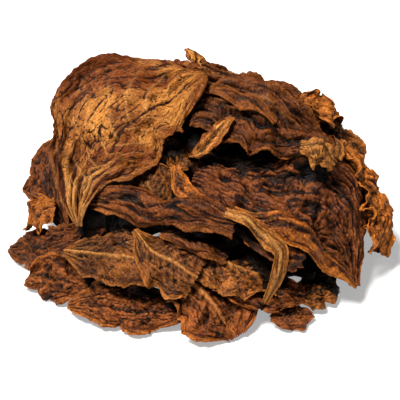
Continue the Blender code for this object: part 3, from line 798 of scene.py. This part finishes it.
PALETTE = {
    TAN: Tones((0.028, 0.006, 0.001), (0.205, 0.057, 0.008), (0.61, 0.245, 0.046),
               (0.61, 0.30, 0.085), (0.11, 0.021, 0.003)),
    GOLD: Tones((0.020, 0.005, 0.001), (0.135, 0.041, 0.007), (0.53, 0.20, 0.040),
                (0.56, 0.26, 0.07), (0.46, 0.16, 0.026)),
    ORANGE: Tones((0.015, 0.003, 0.001), (0.130, 0.028, 0.004), (0.56, 0.165, 0.021),
                  (0.52, 0.20, 0.04), (0.62, 0.19, 0.024)),
    BROWN: Tones((0.006, 0.0015, 0.0005), (0.060, 0.016, 0.003), (0.38, 0.120, 0.022),
                 (0.60, 0.25, 0.060), (0.44, 0.145, 0.025)),
    RED_BROWN: Tones((0.005, 0.0012, 0.0005), (0.049, 0.0105, 0.0023),
                     (0.32, 0.085, 0.0155), (0.44, 0.16, 0.035), (0.42, 0.125, 0.019)),
    DARK: Tones((0.003, 0.0008, 0.0005), (0.031, 0.0074, 0.0024), (0.24, 0.064, 0.014),
                (0.30, 0.10, 0.026), (0.36, 0.098, 0.015)),
    UMBER: Tones((0.003, 0.0008, 0.0005), (0.024, 0.006, 0.0025), (0.13, 0.036, 0.010),
                 (0.18, 0.055, 0.017), (0.22, 0.065, 0.014)),
}


class Skin:
    """A leaf's material and the nodes it is made of. The last argument of each call is
    the node's height in the editor."""

    def __init__(self, name):
        self.material = bpy.data.materials.new(name)
        self.material.use_nodes = True
        self.tree = self.material.node_tree
        self.shader = self.tree.nodes["Principled BSDF"]

    def node(self, kind, x, y, **settings):
        made = self.tree.nodes.new(kind)
        made.location = (x, y)
        for key, value in settings.items():
            setattr(made, key, value)
        return made

    def feed(self, socket, value):
        """Set a plain number or colour, or link another node's output."""
        if isinstance(value, tuple):
            socket.default_value = (*value, 1)
        elif isinstance(value, (int, float)):
            socket.default_value = value
        else:
            self.tree.links.new(value, socket)

    def fact(self, name, y, output="Fac"):
        """One of the values stored at the leaf's points."""
        return self.node("ShaderNodeAttribute", -1500, y, attribute_name=name).outputs[output]

    def blotches(self, scale, detail, y, rough=0.6):
        """Random texture laid over the flattened leaf; scale is features per metre."""
        made = self.node("ShaderNodeTexNoise", -1250, y)
        self.feed(made.inputs["Vector"], self.fact("flat", y, "Vector"))
        self.feed(made.inputs["Scale"], scale)
        self.feed(made.inputs["Detail"], detail)
        self.feed(made.inputs["Roughness"], rough)
        return made.outputs["Fac"]

    def spread(self, value, low, high, y, to_low=0.0, to_high=1.0):
        """Carry low..high to to_low..to_high, and hold the ends."""
        made = self.node("ShaderNodeMapRange", -1000, y)
        names = ("Value", "From Min", "From Max", "To Min", "To Max")
        for key, entry in zip(names, (value, low, high, to_low, to_high)):
            self.feed(made.inputs[key], entry)
        return made.outputs["Result"]

    def combine(self, kind, a, b, y):
        """Two numbers added, multiplied and so on."""
        made = self.node("ShaderNodeMath", -800, y, operation=kind)
        self.feed(made.inputs[0], a)
        self.feed(made.inputs[1], b)
        return made.outputs[0]

    def times(self, a, b, y):
        return self.combine("MULTIPLY", a, b, y)

    def mix(self, factor, a, b, y, kind="MIX"):
        """Colour a with as much of colour b as the factor says."""
        made = self.node("ShaderNodeMix", -550, y, data_type="RGBA", blend_type=kind)
        for number, value in ((0, factor), (6, a), (7, b)):
            self.feed(made.inputs[number], value)
        return made.outputs[2]


def skin_colour(skin, tones, look, middle, grain):
    """Blade colour, painted highlights on the ridges, painted shade in the hollows, then ribs
    and rim.
    """
    relief = skin.fact("relief", 700)
    broad = skin.spread(skin.blotches(28, 4, 500), 0.38, 0.62, 500)
    redder = tuple(c * k for c, k in zip(tones.blade, (0.70, 0.52, 0.50)))
    colour = skin.mix(broad, tones.blade, redder, 500)
    patches = skin.spread(skin.blotches(24, 5, 560, 0.7), 0.47, 0.66, 560)
    colour = skin.mix(skin.times(patches, look.patches, 580), colour, tones.worn_and_highlight, 450)
    # Painted highlight: lighter where the relief is high, as if the ridges caught the light.
    ridges = skin.times(skin.spread(relief, 0.55, 0.82, 700),
                        skin.spread(middle, 0, 1, 720, 0.35, 1.0), 650)
    colour = skin.mix(ridges, colour, tones.worn_and_highlight, 400)
    # Painted shade: near-black where the relief is low, in the hollows and crease lines.
    colour = skin.mix(skin.spread(relief, 0.50, 0.32, 900), colour, tones.shade_and_fleck, 300)
    flecks = skin.spread(skin.blotches(70, 6, -100, 0.75), 0.54, 0.75, -100)
    colour = skin.mix(skin.times(flecks, 0.5, -80), colour, tones.shade_and_fleck, 200)
    spots = skin.spread(skin.blotches(240, 2, -250), 0.66, 0.74, -250)
    dusty = tuple(0.5 * (a + b) for a, b in zip(tones.rib, tones.shade_and_fleck))
    colour = skin.mix(skin.times(spots, look.spots, -240), colour, dusty, 100)
    colour = skin.mix(skin.times(skin.fact("vein", -400), 0.8, -400), colour, tones.rib, 0)
    rim = skin.times(skin.fact("rim", -600), skin.spread(middle, 0, 1, -620, 0.25, 0.9), -600)
    colour = skin.mix(rim, colour, tones.rim, -100)
    shade = skin.spread(grain, 0, 1, -200, 0.35 * look.tone, 1.45 * look.tone)
    colour = skin.mix(1.0, colour, shade, -200, "MULTIPLY")
    # Deep in the heap the leaves fall into shade.
    sunk = skin.spread(skin.fact("depth", -800), *SHADED_DEPTH, -800, 1.0, DEEP_SHADE)
    return skin.mix(1.0, colour, sunk, -300, "MULTIPLY")


def leaf_material(leaf, look):
    """Matte, mottled skin with a fine grain that stands up a little."""
    skin = Skin(leaf.name + "_skin")
    middle = skin.spread(skin.blotches(170, 4, 300), 0.3, 0.7, 300)
    grain = skin.spread(skin.blotches(620, 3, 100), 0.3, 0.7, 100)
    inputs = skin.shader.inputs
    skin.feed(inputs["Base Color"],
              skin_colour(skin, PALETTE[leaf.colour], look, middle, grain))
    skin.feed(inputs["Roughness"], skin.spread(middle, 0, 1, -500, 0.40, 0.62))
    skin.feed(inputs["Specular IOR Level"], 0.10)

    bump = skin.node("ShaderNodeBump", -300, -500)
    skin.feed(bump.inputs["Strength"], 0.8)
    skin.feed(bump.inputs["Distance"], 0.6 * MM)
    skin.feed(bump.inputs["Height"],
              skin.combine("ADD", grain, skin.times(middle, 0.8, -700), -650))
    skin.feed(inputs["Normal"], bump.outputs["Normal"])
    return skin.material


def is_hidden(leaf):
    """Whether a leaf lies under or inside the heap."""
    return leaf.name.startswith(("bed", "core"))


def spacing_of(leaf):
    """Distance between a leaf's points in mm: closest on the leaves that show most."""
    if is_hidden(leaf):
        return 3.0
    return 1.6 if leaf.name.startswith("back") else 0.95


def stacked(leaves):
    """How far each leaf is lifted onto those below it, and where the heap's middle is."""
    heap, placed, lifts = Heap(), [], []
    for leaf in leaves:
        rows, columns = leaf.steps
        u, v = np.meshgrid(np.linspace(0, 1, rows + 1), np.linspace(-1, 1, columns + 1),
                           indexing="ij")
        plain = leaf_points(leaf, u, v)[0]
        placed.append(heap.lay(plain))
        lifts.append(np.linalg.norm(placed[-1] - plain, axis=-1))
    corners = np.vstack([points.reshape(-1, 3) for points in placed])
    low, high = corners.min(axis=0), corners.max(axis=0)
    middle = np.array([(low[0] + high[0]) / 2, (low[1] + high[1]) / 2, low[2] - BLADE / 2])
    return lifts, middle


def build_leaves():
    """Lay the detailed leaves in the order of the heap, then give each its skin."""
    leaves = [*bed_leaves(), *core_leaves(), *back_leaves(), *front_leaves()]
    lifts, middle = stacked(leaves)
    pile, made = Pile(), []
    for leaf, lift in zip(leaves, lifts):
        look = LOOKS.get(leaf.name, INNER if is_hidden(leaf) else PLAIN)
        points, facts = crinkled(leaf, look, lift, is_hidden(leaf), spacing_of(leaf))
        points[..., 2] = np.maximum(points[..., 2], LOWEST)
        made.append((leaf, look, pile.settle(points), facts))
    for leaf, look, points, facts in made:
        facts["depth"] = pile.depth(points)
        mesh = leaf_mesh(leaf.name + "_detail", points - middle, facts)
        mesh.materials.append(leaf_material(leaf, look))
        piece = bpy.data.objects.new(leaf.name + "_detail", mesh)
        bpy.context.scene.collection.objects.link(piece)
        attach(piece, "root")
        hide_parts(leaf.name)


def aim(thing, place, target):
    """Put a lamp or camera at a place, and point it at the target."""
    thing.location = place
    way = Vector(target) - Vector(place)
    thing.rotation_euler = way.to_track_quat("-Z", "Y").to_euler()
    bpy.context.scene.collection.objects.link(thing)


def add_floor():
    """White ground that glows a little, so that it stays white behind the heap."""
    bpy.ops.mesh.primitive_plane_add(size=8, location=(0, 0, 0))
    floor = bpy.context.object
    floor.name = "floor"
    material = bpy.data.materials.new("floor_white")
    material.use_nodes = True
    inputs = material.node_tree.nodes["Principled BSDF"].inputs
    inputs["Base Color"].default_value = (0.6, 0.6, 0.6, 1)
    inputs["Roughness"].default_value = 0.9
    inputs["Emission Color"].default_value = (1, 1, 1, 1)
    inputs["Emission Strength"].default_value = 0.37
    floor.data.materials.append(material)


def add_light():
    """Large soft lamp high on the left, with a weak even light from all around."""
    scene = bpy.context.scene
    scene.view_settings.view_transform = "Standard"
    scene.world = bpy.data.worlds.new("studio")
    scene.world.use_nodes = True
    backdrop = scene.world.node_tree.nodes["Background"]
    backdrop.inputs["Color"].default_value = (1, 1, 1, 1)
    backdrop.inputs["Strength"].default_value = 0.14
    lamp = bpy.data.lights.new("key", "AREA")
    lamp.shape = "DISK"
    lamp.size = 1.0
    lamp.energy = 205
    lamp.color = (1, 0.98, 0.94)
    key = bpy.data.objects.new("key", lamp)
    aim(key, (-1.0, -0.55, 2.75), (0, 0, 0.05))


def add_camera():
    """Looks down on the heap from the front, from about a metre away."""
    away, tilt = 0.944, math.radians(35)
    target = Vector((0, 0, 0.055))
    camera = bpy.data.cameras.new("camera")
    camera.lens = 85
    eye = bpy.data.objects.new("camera", camera)
    aim(eye, target + away * Vector((0, -math.cos(tilt), math.sin(tilt))), target)
    bpy.context.scene.camera = eye


build_leaves()
add_floor()
add_light()
add_camera()
